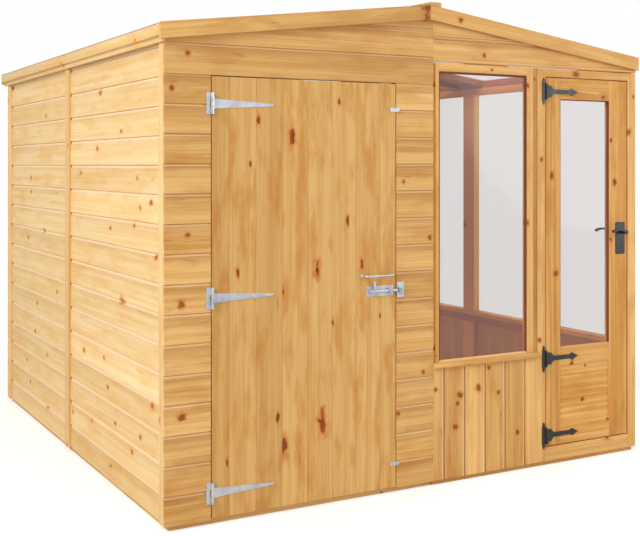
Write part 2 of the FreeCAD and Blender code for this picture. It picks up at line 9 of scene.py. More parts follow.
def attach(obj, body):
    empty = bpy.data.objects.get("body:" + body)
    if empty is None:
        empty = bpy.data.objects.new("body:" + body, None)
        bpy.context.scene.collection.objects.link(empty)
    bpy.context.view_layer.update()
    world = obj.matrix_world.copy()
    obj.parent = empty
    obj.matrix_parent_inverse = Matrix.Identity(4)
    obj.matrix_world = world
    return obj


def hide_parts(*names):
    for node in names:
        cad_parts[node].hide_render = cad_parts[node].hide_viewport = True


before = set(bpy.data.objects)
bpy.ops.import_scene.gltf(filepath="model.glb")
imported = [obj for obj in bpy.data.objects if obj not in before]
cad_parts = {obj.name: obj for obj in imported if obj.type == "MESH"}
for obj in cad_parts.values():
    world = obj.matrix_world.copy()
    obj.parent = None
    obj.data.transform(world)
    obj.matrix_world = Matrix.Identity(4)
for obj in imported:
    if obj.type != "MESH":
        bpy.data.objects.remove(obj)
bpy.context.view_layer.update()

# Sizes of the boards and of their joints, in metres
BASE = 0.020
BOARD_PITCH = 0.113
FRONT_PITCH = 0.1135
FRONT_FIRST_SEAM = 0.0195
COVE_RISE = 0.0105
SIDE_COVE_RISE = 0.0135
COVE_DEPTH = 0.0055
GROOVE = 0.0026
GROOVE_DEPTH = 0.0065
# BRINK_SHADE and FADE_SHADE set the strength of the painted shade on a board's face below the board above
BRINK_SHADE = 0.80
FADE = 0.030
FADE_SHADE = 0.16
UPRIGHT_COVE = 0.0098
UPRIGHT_COVE_DEPTH = 0.0030
# UPRIGHT_COVE_LIGHT and UPRIGHT_GAP_SHADE set the strength of the painted highlight on an upright board's cove and the
# painted shade in the gap beside it
UPRIGHT_COVE_LIGHT = 1.6
UPRIGHT_GAP = 0.0035
UPRIGHT_GAP_DEPTH = 0.0085
UPRIGHT_GAP_SHADE = 1.5
ARRIS = 0.0010
GABLE_PITCH = 0.1215
GABLE_FIRST_SEAM = 1.839
UPRIGHT_PITCH = 0.1127
DOOR_PITCH = 0.1157
PANEL_PITCH = 0.109
PANEL_FIRST_SEAM = 0.182
EDGE_ROUND = 0.0016
SPARE = 0.006
BEAD = 0.009
DOOR_BEAD = 0.005
DRIP_BOTTOM = 1.918
DRIP_TOP = 1.939
DRIP_PROUD = 0.0045
HEAD_GAP = 0.0035
FOOT_GROOVE = 0.0075
HEAD_BEAD_BOTTOM = 1.822
HEAD_BEAD_TOP = 1.832
JOIN_REBATE = 0.015
STILE_REBATE = 0.029
REBATE_DEPTH = 0.006
# Tone step that paints the strips set back in rebates darker, as painted shade in the rebate
SUNK_SHADE = -3.0

UP = Vector((0, 0, 1))


def span(node):
    """The two opposite corners of a CAD node."""
    points = [vert.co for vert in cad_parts[node].data.vertices]
    return (Vector([min(p[i] for p in points) for i in range(3)]),
            Vector([max(p[i] for p in points) for i in range(3)]))


LEFT, FRONT = span("shed_wall_front_left")[0].xy
RIGHT, REAR = span("greenhouse_rear_boards")[1].xy
JOIN = span("greenhouse_rear_boards")[0].x
SIDE_FACE = span("shed_wall_left_front")[0].x
HEAD_TOP = span("greenhouse_heads")[1].z
UPRIGHT_FIRST_SEAM = LEFT + 1.2980
DOOR_FIRST_SEAM = LEFT + 0.2695


def in_greenhouse(place):
    """Whether a point of the timberwork faces the room behind the glass."""
    skin = 0.0115
    return JOIN < place.x < RIGHT - skin and FRONT + skin < place.y < REAR - skin and place.z > BASE


class Wood:
    """Collects the timbers of one piece, each with its own grain, tone and knots."""

    def __init__(self, seed, body="building"):
        self.fixed = body == "building"
        self.bm = bmesh.new()
        self.layers = make_layers(self.bm)
        self.random = random.Random(seed)

    def add(self, solid, origin, along, across, outward, knots=(), knotty=1.0, stretch=1.0, tone=None,
            marks=None):
        """Writes the wood's own coordinates on one timber and joins it to the piece."""
        layers = make_layers(solid)
        seed = self.random.random()
        shade = self.random.gauss(0, 1) if tone is None else tone
        local = [(p.co - origin) for p in solid.verts]
        us = [c.dot(along) for c in local]
        vs = [c.dot(across) for c in local]
        low_u, high_u, low_v, high_v = min(us), max(us), min(vs), max(vs)
        spots = [(k[0], k[1], k[2]) for k in knots][:3]
        wanted = (high_u - low_u) * 1.6 * knotty
        widest = min(0.011, (high_v - low_v) * 0.16)
        while len(spots) < 3 and self.random.random() < wanted - len(spots):
            spots.append((self.random.uniform(low_u, high_u), self.random.uniform(low_v, high_v),
                          self.random.uniform(widest * 0.4, widest)))
        while len(spots) < 3:
            spots.append((-9.0, -9.0, 0.001))
        for vert, u, v, place in zip(solid.verts, us, vs, local):
            vert[layers["grain"]] = Vector((u, v, place.dot(outward)))
            vert[layers["seed"]] = seed
            vert[layers["tone"]] = shade
            vert[layers["stretch"]] = stretch
            # inner marks faces inside the greenhouse, which the material paints with painted light; cove and groove
            # carry the painted highlight and painted shade of the joints
            vert[layers["inner"]] = float(self.fixed and in_greenhouse(vert.co))
            vert[layers["cove"]], vert[layers["groove"]] = marks(v, place.dot(outward)) if marks else (0.0, 0.0)
            for name, spot in zip(("knot_a", "knot_b", "knot_c"), spots):
                vert[layers[name]] = Vector(spot)
        mesh = bpy.data.meshes.new("timber")
        solid.to_mesh(mesh)
        solid.free()
        self.bm.from_mesh(mesh)
        bpy.data.meshes.remove(mesh)

    def piece(self, name, body, material, slot, replaced):
        mesh = bpy.data.meshes.new(name)
        self.bm.to_mesh(mesh)
        self.bm.free()
        return show(mesh, name, body, material, replaced)


def make_layers(bm):
    """The custom layers that the wood material reads."""
    layers = {}
    for name in ("grain", "knot_a", "knot_b", "knot_c"):
        group = bm.verts.layers.float_vector
        layers[name] = group.get(name) or group.new(name)
    for name in ("seed", "tone", "stretch", "cove", "groove", "inner"):
        group = bm.verts.layers.float
        layers[name] = group.get(name) or group.new(name)
    return layers


def show(mesh, name, body, material, replaced=(), crease=35):
    """Puts a mesh in the scene as a piece that rides on its body."""
    mesh.materials.append(material)
    for polygon in mesh.polygons:
        polygon.use_smooth = True
    mesh.set_sharp_from_angle(angle=math.radians(crease))
    piece = bpy.data.objects.new(name, mesh)
    bpy.context.scene.collection.objects.link(piece)
    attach(piece, body)
    if replaced:
        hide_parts(*replaced)
    return piece


def solids_of(node):
    """The separate solids of a CAD node, each as a cleaned bmesh."""
    whole = bmesh.new()
    whole.from_mesh(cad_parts[node].data)
    bmesh.ops.remove_doubles(whole, verts=whole.verts, dist=1e-5)
    whole.verts.ensure_lookup_table()
    seen = set()
    solids = []
    for start in whole.verts:
        if start in seen:
            continue
        stack = [start]
        island = {start}
        while stack:
            for edge in stack.pop().link_edges:
                for vert in edge.verts:
                    if vert not in island:
                        island.add(vert)
                        stack.append(vert)
        seen |= island
        solid = bmesh.new()
        copies = {vert: solid.verts.new(vert.co) for vert in island}
        for face in {f for vert in island for f in vert.link_faces}:
            solid.faces.new([copies[v] for v in face.verts])
        bmesh.ops.dissolve_limit(solid, angle_limit=math.radians(0.5), verts=solid.verts, edges=solid.edges)
        solid.normal_update()
        solids.append(solid)
    whole.free()
    solids.sort(key=lambda s: tuple(round(c, 4) for c in box_of(s)[0]))
    return solids


def box_of(bm):
    low = Vector([min(v.co[i] for v in bm.verts) for i in range(3)])
    high = Vector([max(v.co[i] for v in bm.verts) for i in range(3)])
    return low, high


def soften(solid, size=EDGE_ROUND):
    """Rounds the arrises of a timber."""
    edges = [e for e in solid.edges if len(e.link_faces) == 2 and e.calc_face_angle(0) > math.radians(30)]
    bmesh.ops.bevel(solid, geom=edges, offset=size, segments=2, profile=0.6, affect="EDGES", clamp_overlap=True)


def facing(low, high):
    """The direction that a timber on an outer wall faces."""
    if low.y < FRONT + 0.001:
        return Vector((0, -1, 0))
    if high.y > REAR - 0.001:
        return Vector((0, 1, 0))
    if high.x > RIGHT - 0.001:
        return Vector((1, 0, 0))
    if low.x < LEFT + 0.001:
        return Vector((-1, 0, 0))
    return None


def lower_head(solid):
    """Leaves a fine shadow gap under the bead that crosses the front above the window and the door."""
    low, high = box_of(solid)
    if low.y < FRONT + 0.001 and abs(high.z - HEAD_TOP) < 0.001:
        clip(solid, Vector((0, 0, HEAD_TOP - HEAD_GAP)), UP)


def sink(solid, edge, away):
    """Cuts an upright timber in two at a plane and sets the part beyond it back behind the face."""
    sunk = solid.copy()
    clip(solid, edge, away)
    clip(sunk, edge, -away)
    clip(sunk, Vector((0, FRONT + REBATE_DEPTH, 0)), Vector((0, -1, 0)))
    return sunk


def foot_groove(solid):
    """A fine rebate on the left of the door's foot post, where the boards end."""
    low, high = box_of(solid)
    foot = span("greenhouse_door_foot")
    if abs(low.x - foot[0].x) > 0.001 or abs(high.x - foot[1].x) > 0.001:
        return None
    return sink(solid, Vector((low.x + FOOT_GROOVE, 0, 0)), Vector((-1, 0, 0)))


def main_axes(solid):
    """The grain runs along a timber's longest edge. Its thickness is square to the wall or its shortest side."""
    arrises = [e for e in solid.edges if e.calc_face_angle(0) > math.radians(20)]
    longest = max(arrises, key=lambda e: e.calc_length())
    along = (longest.verts[1].co - longest.verts[0].co).normalized()
    if along.dot(Vector((1, 1.01, 1.02))) < 0:
        along = -along
    wall = facing(*box_of(solid))
    if wall is not None and abs(wall.dot(along)) < 0.01:
        return along, wall.cross(along), wall
    spans = []
    for axis in (Vector((1, 0, 0)), Vector((0, 1, 0)), UP):
        side = axis - along * axis.dot(along)
        if side.length > 0.3:
            side.normalize()
            reach = [v.co.dot(side) for v in solid.verts]
            spans.append((max(reach) - min(reach), side))
    spans.sort(key=lambda s: s[0])
    outward = spans[0][1]
    across = outward.cross(along).normalized()
    return along, across, outward


def knots_on(places, origin, along, across, outward, solid):
    """Knots given as places on the building that fall on this timber, in its own coordinates."""
    low, high = box_of(solid)
    margin = [0.004 + 0.03 * abs(c) for c in outward]
    found = []
    for place, size in places:
        spot = Vector(place)
        inside = all(low[i] - margin[i] <= spot[i] <= high[i] + margin[i] for i in range(3))
        if inside:
            local = spot - origin
            found.append((local.dot(along), local.dot(across), size))
    return found


def dressed_timber(name, nodes, body, material, slot, seed, places=(), knotty=0.5, tone=None, stretch=1.3,
                   bevel=EDGE_ROUND):
    """Plain framing: the CAD solids themselves with rounded arrises and their own grain."""
    wood = Wood(seed, body)
    for node in nodes:
        for solid in solids_of(node):
            along, across, outward = main_axes(solid)
            low, high = box_of(solid)
            lower_head(solid)
            sunk = foot_groove(solid)
            knots = knots_on(places, low, along, across, outward, solid)
            soften(solid, bevel)
            wood.add(solid, low, along, across, outward, knots, knotty, stretch, tone)
            # The part set back behind the face is painted darker, as painted shade in its rebate
            if sunk is not None:
                wood.add(sunk, low, along, across, outward, (), knotty, stretch, SUNK_SHADE)
    return wood.piece(name, body, material, slot, nodes)


def shiplap(rise):
    """A board with a coved top edge: its section, as (across, outward) points, and the marks for its painted highlight
    and painted shade.
    """
    def section(pitch, thick):
        start = pitch - rise
        run = rise - GROOVE
        curve = ((0, 0), (0.14, 0.34), (0.38, 0.72), (0.7, 0.93), (1, 1))
        cove = [(start + run * a, thick - COVE_DEPTH * b) for a, b in curve]
        groove = [(pitch - GROOVE, thick - GROOVE_DEPTH), (pitch, thick - GROOVE_DEPTH)]
        face = [(0, 0), (0, thick - ARRIS), (ARRIS, thick), (start - FADE, thick)]
        return face + cove + groove + [(pitch, 0)]

    def marks(pitch, thick):
        """Marks a painted highlight on the cove and lower lip of a board, and painted shade in its groove and on its
        face, darkest where the face meets the cove.
        """
        start = pitch - rise

        def mark(v, w):
            if v > pitch - GROOVE * 1.1 and w < thick - COVE_DEPTH * 1.1:
                return 0.0, 1.0
            if v < ARRIS * 0.5 or v > start + rise * 0.05:
                return 1.0, 0.0
            if v > start - rise * 0.05:
                return 0.0, BRINK_SHADE
            return 0.0, FADE_SHADE * (v > ARRIS * 1.5)
        return mark

    return section, marks


def upright_board(pitch, thick):
    """Section of a board stood on end: a cove on its right edge, then a narrow gap before the next board."""
    gap = pitch - UPRIGHT_GAP
    start = gap - UPRIGHT_COVE
    cove = [(start + UPRIGHT_COVE * a, thick - UPRIGHT_COVE_DEPTH * b) for a, b in ((0.12, 0.04), (0.55, 0.45), (1, 1))]
    floor = thick - UPRIGHT_GAP_DEPTH
    return [(0, 0), (0, thick - ARRIS), (ARRIS, thick), (start, thick)] + cove + [(gap, floor), (pitch, floor), (pitch, 0)]


def upright_marks(pitch, thick):
    # Painted highlight on the cove, painted shade in the gap and on the board's left edge
    def marks(v, w):
        in_gap = v < ARRIS * 0.5 or w < thick - UPRIGHT_COVE_DEPTH * 1.1
        on_cove = v > pitch - UPRIGHT_GAP - UPRIGHT_COVE * 0.95 and not in_gap
        return UPRIGHT_COVE_LIGHT * on_cove, UPRIGHT_GAP_SHADE * in_gap
    return marks


def vee_board(pitch, thick, vee):
    """Section of a matched board with a small bevel on both face edges."""
    return [(0.0002, 0), (0.0002, thick - vee), (vee, thick), (pitch - vee, thick), (pitch - 0.0002, thick - vee),
            (pitch - 0.0002, 0)]


FINE_SHIPLAP = shiplap(COVE_RISE)
WIDE_SHIPLAP = shiplap(SIDE_COVE_RISE)
UPRIGHT_BOARD = upright_board, upright_marks


def board_solid(section, low_u, high_u, origin, along, across, outward):
    bm = bmesh.new()
    ends = []
    for u in (low_u, high_u):
        ends.append([bm.verts.new(origin + along * u + across * v + outward * w) for v, w in section])
    bm.faces.new(ends[0])
    bm.faces.new(list(reversed(ends[1])))
    count = len(section)
    for i in range(count):
        j = (i + 1) % count
        bm.faces.new([ends[0][j], ends[0][i], ends[1][i], ends[1][j]])
    bmesh.ops.recalc_face_normals(bm, faces=bm.faces)
    return bm


def clip(bm, point, normal):
    """Cuts off what lies beyond a plane and closes the cut."""
    distances = [(v.co - point).dot(normal) for v in bm.verts]
    if not distances or max(distances) < 1e-6:
        return
    geometry = bm.verts[:] + bm.edges[:] + bm.faces[:]
    bmesh.ops.bisect_plane(bm, geom=geometry, plane_co=point, plane_no=normal, clear_outer=True)
    rim = [e for e in bm.edges if e.is_boundary]
    if rim:
        bmesh.ops.holes_fill(bm, edges=rim)


def inner_step(face, side, low, high):
    """Whether an upright face is a small step inside the outline, not one of its two ends."""
    if abs(face.normal[side]) < 0.99:
        return False
    end = high if face.normal[side] > 0 else low
    return abs(face.verts[0].co[side] - end[side]) > 0.001


def boarded(name, nodes, body, material, slot, seed, upright=False, pitch=BOARD_PITCH, first=BASE, profile=FINE_SHIPLAP,
            places=(), knotty=1.0, stretch=1.0, tone=0.0, spread=1.0, trim=None):
    """Replaces flat slabs by rows of boards that are cut to the slab's outline."""
    wood = Wood(seed, body)
    section, marks_of = profile
    for node in nodes:
        for slab in solids_of(node):
            low, high = box_of(slab)
            size = high - low
            thin = 0 if size.x < size.y else 1
            side = 1 - thin
            centre = (low + high) / 2
            sign = 1.0 if centre[thin] > 0 else -1.0
            outward = Vector((0, 0, 0))
            outward[thin] = sign
            level = Vector((0, 0, 0))
            level[side] = 1.0
            along, across = (UP, level) if upright else (level, UP)
            base = Vector((0, 0, 0))
            base[thin] = low[thin] if sign > 0 else high[thin]
            if trim and node in trim:
                low, high = trim[node](low.copy(), high.copy())
            planes = [(f.verts[0].co.copy(), f.normal.copy()) for f in slab.faces
                      if abs(f.normal[thin]) < 0.5 and not inner_step(f, side, low, high)]
            if trim and node in trim:
                planes.append((low.copy(), -level))
                planes.append((high.copy(), level))
            low_u, high_u = low.dot(along) - SPARE, high.dot(along) + SPARE
            low_v, high_v = low.dot(across), high.dot(across)
            step = math.floor((low_v - first) / pitch + 1e-4)
            while first + step * pitch < high_v - 1e-4:
                origin = base + across * (first + step * pitch)
                board = board_solid(section(pitch, size[thin]), low_u, high_u, origin, along, across, outward)
                for point, normal in planes:
                    clip(board, point, normal)
                if len(board.verts) > 3:
                    start = origin + along * low_u
                    knots = knots_on(places, start, along, across, outward, board)
                    marks = marks_of(pitch, size[thin]) if marks_of else None
                    paler = PALE_BOARDS.get(node, {}).get(step, 0.0)
                    wood.add(board, start, along, across, outward, knots, knotty, stretch,
                             tone + paler + wood.random.gauss(0, spread), marks)
                else:
                    board.free()
                step += 1
            slab.free()
    return wood.piece(name, body, material, slot, nodes)


# Node helpers for the materials
class Nodes:
    def __init__(self, name):
        self.material = bpy.data.materials.new(name)
        self.material.use_nodes = True
        self.tree = self.material.node_tree
        self.shader = self.tree.nodes["Principled BSDF"]

    def link(self, source, socket):
        self.tree.links.new(source, socket)

    def set(self, socket, value):
        if isinstance(value, bpy.types.NodeSocket):
            self.link(value, socket)
        else:
            socket.default_value = value

    def attribute(self, name, output="Fac"):
        node = self.tree.nodes.new("ShaderNodeAttribute")
        node.attribute_name = name
        return node.outputs[output]

    def maths(self, operation, a, b=0.0, c=0.0, clamp=False):
        node = self.tree.nodes.new("ShaderNodeMath")
        node.operation = operation
        node.use_clamp = clamp
        for socket, value in zip(node.inputs, (a, b, c)):
            self.set(socket, value)
        return node.outputs[0]

    def vector(self, operation, a, b=(0, 0, 0)):
        node = self.tree.nodes.new("ShaderNodeVectorMath")
        node.operation = operation
        self.set(node.inputs[0], a)
        self.set(node.inputs[1], b)
        return node.outputs[1] if operation in ("LENGTH", "DOT_PRODUCT") else node.outputs[0]

    def combine(self, x, y, z):
        node = self.tree.nodes.new("ShaderNodeCombineXYZ")
        for socket, value in zip(node.inputs, (x, y, z)):
            self.set(socket, value)
        return node.outputs[0]

    def split(self, value):
        node = self.tree.nodes.new("ShaderNodeSeparateXYZ")
        self.link(value, node.inputs[0])
        return node.outputs

    def noise(self, vector, scale=1.0, detail=2.0, roughness=0.5, distortion=0.0):
        node = self.tree.nodes.new("ShaderNodeTexNoise")
        self.link(vector, node.inputs["Vector"])
        node.inputs["Scale"].default_value = scale
        node.inputs["Detail"].default_value = detail
        node.inputs["Roughness"].default_value = roughness
        node.inputs["Distortion"].default_value = distortion
        return node.outputs["Fac"]

    def spread(self, value, low, high, to_low=0.0, to_high=1.0, kind="SMOOTHSTEP"):
        node = self.tree.nodes.new("ShaderNodeMapRange")
        node.interpolation_type = kind
        node.clamp = True if kind == "LINEAR" else node.clamp
        for socket, number in zip(node.inputs, (value, low, high, to_low, to_high)):
            self.set(socket, number)
        return node.outputs[0]

    def mix(self, factor, a, b, blend="MIX"):
        node = self.tree.nodes.new("ShaderNodeMix")
        node.data_type = "RGBA"
        node.blend_type = blend
        self.set(node.inputs[0], factor)
        self.set(node.inputs[6], a)
        self.set(node.inputs[7], b)
        return node.outputs[2]

    def bump(self, height, strength, distance):
        node = self.tree.nodes.new("ShaderNodeBump")
        node.inputs["Strength"].default_value = strength
        node.inputs["Distance"].default_value = distance
        self.link(height, node.inputs["Height"])
        self.link(node.outputs[0], self.shader.inputs["Normal"])


def rgb(red, green, blue):
    """A colour given as it shows on screen, 0 to 255, as linear light."""
    def linear(value):
        value /= 255
        return value / 12.92 if value <= 0.04045 else ((value + 0.055) / 1.055) ** 2.4
    return (linear(red), linear(green), linear(blue), 1.0)


KNOT = rgb(202, 118, 48), rgb(142, 66, 26), rgb(84, 34, 14)
SIDE_KNOT = rgb(226, 152, 74), rgb(196, 116, 52), rgb(140, 78, 38)
DOOR_KNOT = rgb(208, 118, 46), rgb(150, 52, 14), rgb(92, 28, 8)


def pine(name, pale, honey, deep, roughness=0.58, tone_step=0.055, figure=1.0, cove_light=0.34, groove_shade=0.34,
         flecks=0.35, core=1.0, blotches=0.42, knot=KNOT):
    """Planed pine: growth rings round a pith behind the face, fibres, blotches and knots, with painted highlight and
    painted shade at board joints and painted light on faces inside the greenhouse.
    """
    n = Nodes(name)
    grain = n.attribute("grain", "Vector")
    seed = n.attribute("seed")
    stretch = n.attribute("stretch")
    u, v, w = n.split(grain)
    offset = n.vector("MULTIPLY", n.combine(seed, seed, seed), (37.0, 51.0, 23.0))

    def field(along, across, detail=2.0, roughness_=0.5, distortion=0.0):
        stretched = n.vector("MULTIPLY", grain, (along, across, across))
        return n.noise(n.vector("ADD", stretched, offset), 1.0, detail, roughness_, distortion)

    warp = field(2.2, 9.0, 2.0)
    dark_core = 0.0
    halo = 0.0
    push = 0.0
    wobble = field(34.0, 46.0, 2.0)
    for layer in ("knot_a", "knot_b", "knot_c"):
        ku, kv, kr = n.split(n.attribute(layer, "Vector"))
        du = n.maths("DIVIDE", n.maths("SUBTRACT", u, ku), stretch)
        dv = n.maths("SUBTRACT", v, kv)
        far = n.maths("DIVIDE", n.vector("LENGTH", n.combine(du, dv, 0.0)), n.maths("MULTIPLY", kr, 1.5))
        ragged = n.maths("ADD", far, n.maths("MULTIPLY", n.maths("SUBTRACT", wobble, 0.5), 2.3))
        dark_core = n.maths("MAXIMUM", dark_core, n.spread(ragged, 0.55, 1.1, 1.0, 0.0))
        halo = n.maths("MAXIMUM", halo, n.spread(ragged, 0.8, 2.0, 1.0, 0.0))
        push = n.maths("ADD", push, n.maths("MULTIPLY", n.spread(far, 0.0, 5.0, 1.0, 0.0), kr))

    def share(times):
        return n.maths("FRACT", n.maths("MULTIPLY", seed, times))

    pith_v = n.maths("MULTIPLY_ADD", share(7.31), 0.10, 0.006)
    pith_w = n.maths("MULTIPLY_ADD", share(3.77), -0.05, -0.018)
    ring_v = n.maths("ADD", n.maths("SUBTRACT", v, pith_v), n.maths("MULTIPLY", n.maths("SUBTRACT", warp, 0.5), 0.03))
    ring_w = n.maths("SUBTRACT", w, pith_w)
    radius = n.vector("LENGTH", n.combine(ring_v, ring_w, 0.0))
    slope = n.maths("MULTIPLY", u, n.maths("MULTIPLY_ADD", share(11.9), 0.02, -0.01))
    radius = n.maths("ADD", n.maths("ADD", radius, slope), n.maths("MULTIPLY", push, 0.9))
    ring = n.maths("FRACT", n.maths("DIVIDE", radius, 0.0052))
    late = n.maths("MULTIPLY", n.spread(ring, 0.25, 0.86), n.spread(ring, 0.9, 1.0, 1.0, 0.0))
    late = n.maths("MULTIPLY", late, n.spread(field(1.3, 13.0), 0.38, 0.62, 0.25, 1.0))
    normal = n.split(n.tree.nodes.new("ShaderNodeNewGeometry").outputs["True Normal"])
    inner = n.maths("MULTIPLY", n.attribute("inner"), n.maths("MULTIPLY", normal[0], -1.6, 0.0, True))
    fibres = field(2.4, 150.0, 3.0, 0.6)
    streaks = field(0.9, 38.0, 2.0, 0.55)
    blotch = field(4.5, 17.0, 3.0, 0.55)

    figure_amount = n.maths("ADD", n.maths("MULTIPLY", late, 0.42 * figure),
                            n.maths("MULTIPLY", n.spread(streaks, 0.34, 0.66), 0.55 * figure))
    figure_amount = n.maths("ADD", figure_amount, n.maths("MULTIPLY", n.spread(fibres, 0.35, 0.7), 0.24 * figure))
    colour = n.mix(figure_amount, pale, honey)
    colour = n.mix(n.maths("MULTIPLY", n.spread(blotch, 0.44, 0.70), blotches), colour, deep)
    fleck = n.maths("MULTIPLY", n.spread(field(7.0, 42.0, 2.0), 0.66, 0.76), n.spread(blotch, 0.4, 0.6))
    colour = n.mix(n.maths("MULTIPLY", fleck, flecks), colour, rgb(150, 84, 36))
    # Each board's own tone, held weaker on the inside faces that take painted light
    step = n.maths("MULTIPLY", n.attribute("tone"), n.maths("MULTIPLY_ADD", inner, -0.8, 1.0))
    tone = n.maths("MULTIPLY_ADD", step, tone_step, 1.0)
    warm = n.maths("MULTIPLY_ADD", step, tone_step * 1.25, 1.0)
    warmer = n.maths("MULTIPLY_ADD", step, tone_step * 1.8, 1.0)
    colour = n.mix(1.0, colour, n.combine(tone, warm, warmer), "MULTIPLY")
    # Painted highlight on coves and lower lips, painted shade in the grooves and on faces below the board above
    colour = n.mix(n.maths("MULTIPLY", n.attribute("cove"), cove_light), colour, rgb(246, 214, 180))
    colour = n.mix(n.maths("MULTIPLY", n.attribute("groove"), groove_shade), colour, rgb(120, 70, 36))
    # Inside the greenhouse, faces turned towards -X are painted flatter and redder, as painted light for the room
    # behind the glass
    colour = n.mix(n.maths("MULTIPLY", inner, 0.75), colour, n.mix(0.4, pale, honey))
    colour = n.mix(inner, colour, n.mix(1.0, colour, (1.36, 0.90, 0.88, 1.0), "MULTIPLY"))
    # Inside faces turned to the front or up are painted more orange, as painted light falling on them
    ledge = n.maths("MAXIMUM", n.maths("MULTIPLY", normal[1], -1.0), normal[2])
    ledge = n.maths("MULTIPLY", n.attribute("inner"), n.maths("MULTIPLY", ledge, 1.6, 0.0, True))
    colour = n.mix(ledge, colour, n.mix(1.0, colour, (1.06, 0.88, 0.66, 1.0), "MULTIPLY"))
    colour = n.mix(n.maths("MULTIPLY", halo, 0.7), colour, knot[0])
    ringed = n.maths("MULTIPLY", dark_core, n.maths("MULTIPLY_ADD", wobble, 0.5, 0.62), 0.0, True)
    colour = n.mix(n.maths("MULTIPLY", ringed, core), colour, n.mix(n.spread(fibres, 0.4, 0.6), knot[1], knot[2]))
    n.link(colour, n.shader.inputs["Base Color"])
    rough = n.maths("MULTIPLY_ADD", late, -0.08, roughness)
    n.link(n.maths("MULTIPLY_ADD", dark_core, -0.12, rough), n.shader.inputs["Roughness"])
    n.shader.inputs["Specular IOR Level"].default_value = 0.15
    relief = n.maths("ADD", n.maths("MULTIPLY", late, 0.5), n.maths("MULTIPLY", fibres, 0.7))
    n.bump(relief, 0.35, 0.0004)
    return n.material


def glazing_material(name, alpha):
    n = Nodes(name)
    place = n.tree.nodes.new("ShaderNodeTexCoord").outputs["Object"]
    haze = n.noise(n.vector("MULTIPLY", place, (1.1, 1.1, 0.7)), 1.0, 2.0)
    n.link(n.mix(haze, rgb(168, 154, 150), rgb(184, 168, 164)), n.shader.inputs["Base Color"])
    n.shader.inputs["Alpha"].default_value = alpha
    n.shader.inputs["Roughness"].default_value = 0.06
    n.shader.inputs["Specular IOR Level"].default_value = 0.5
    ripple = n.noise(n.vector("MULTIPLY", place, (9.0, 9.0, 2.5)), 1.0, 1.0)
    n.bump(ripple, 0.08, 0.001)
    return n.material


def metal_material(name, dull, bright, metallic, roughness, bump_scale, bump_depth):
    n = Nodes(name)
    place = n.tree.nodes.new("ShaderNodeTexCoord").outputs["Object"]
    patch = n.noise(n.vector("MULTIPLY", place, (22.0, 22.0, 22.0)), 1.0, 1.0, 0.5)
    n.link(n.mix(n.spread(patch, 0.2, 0.8), dull, bright), n.shader.inputs["Base Color"])
    n.shader.inputs["Metallic"].default_value = metallic
    n.link(n.spread(patch, 0.3, 0.7, roughness - 0.05, roughness + 0.05), n.shader.inputs["Roughness"])
    dents = n.noise(n.vector("MULTIPLY", place, (bump_scale,) * 3), 1.0, 2.0)
    n.bump(dents, 0.15, bump_depth)
    return n.material


def felt_material():
    n = Nodes("mineral_felt")
    place = n.tree.nodes.new("ShaderNodeTexCoord").outputs["Object"]
    grit = n.noise(n.vector("MULTIPLY", place, (900.0, 900.0, 900.0)), 1.0, 2.0, 0.7)
    patch = n.noise(n.vector("MULTIPLY", place, (5.0, 5.0, 5.0)), 1.0, 3.0)
    colour = n.mix(n.spread(grit, 0.3, 0.7), rgb(46, 52, 48), rgb(96, 102, 96))
    n.link(n.mix(n.maths("MULTIPLY", patch, 0.4), colour, rgb(60, 66, 60)), n.shader.inputs["Base Color"])
    n.shader.inputs["Roughness"].default_value = 0.92
    n.bump(grit, 0.8, 0.0008)
    return n.material


cladding = pine("cladding_pine", rgb(234, 188, 118), rgb(206, 150, 80), rgb(194, 130, 60), core=0.85)
side_cladding = pine("side_cladding_pine", rgb(240, 210, 156), rgb(226, 182, 114), rgb(226, 170, 88), figure=0.85,
                     cove_light=0.62, groove_shade=0.14, flecks=0.2, knot=SIDE_KNOT)
door_wood = pine("door_pine", rgb(222, 178, 110), rgb(200, 144, 74), rgb(196, 132, 60), figure=0.8,
                 blotches=0.75, knot=DOOR_KNOT)
garden_door_wood = pine("garden_door_pine", rgb(238, 188, 114), rgb(211, 151, 76), rgb(188, 118, 44), figure=1.6)
framing = pine("framing_pine", rgb(186, 134, 100), rgb(158, 104, 74), rgb(138, 86, 60))
base_wood = pine("base_pine", rgb(216, 170, 108), rgb(194, 144, 84), rgb(176, 122, 66))
# Dark pine for the glazing beads, as painted shade in the window reveals
shaded_bead_wood = pine("shaded_bead_pine", rgb(140, 78, 50), rgb(116, 60, 38), rgb(98, 48, 32))
glass = glazing_material("glazing_sheet", 0.125)
zinc = metal_material("zinc_plate", rgb(192, 195, 203), rgb(216, 219, 226), 0.9, 0.30, 140.0, 0.0001)
black = metal_material("black_coat", rgb(22, 23, 26), rgb(36, 37, 41), 0.0, 0.45, 240.0, 0.0004)
felt = felt_material()

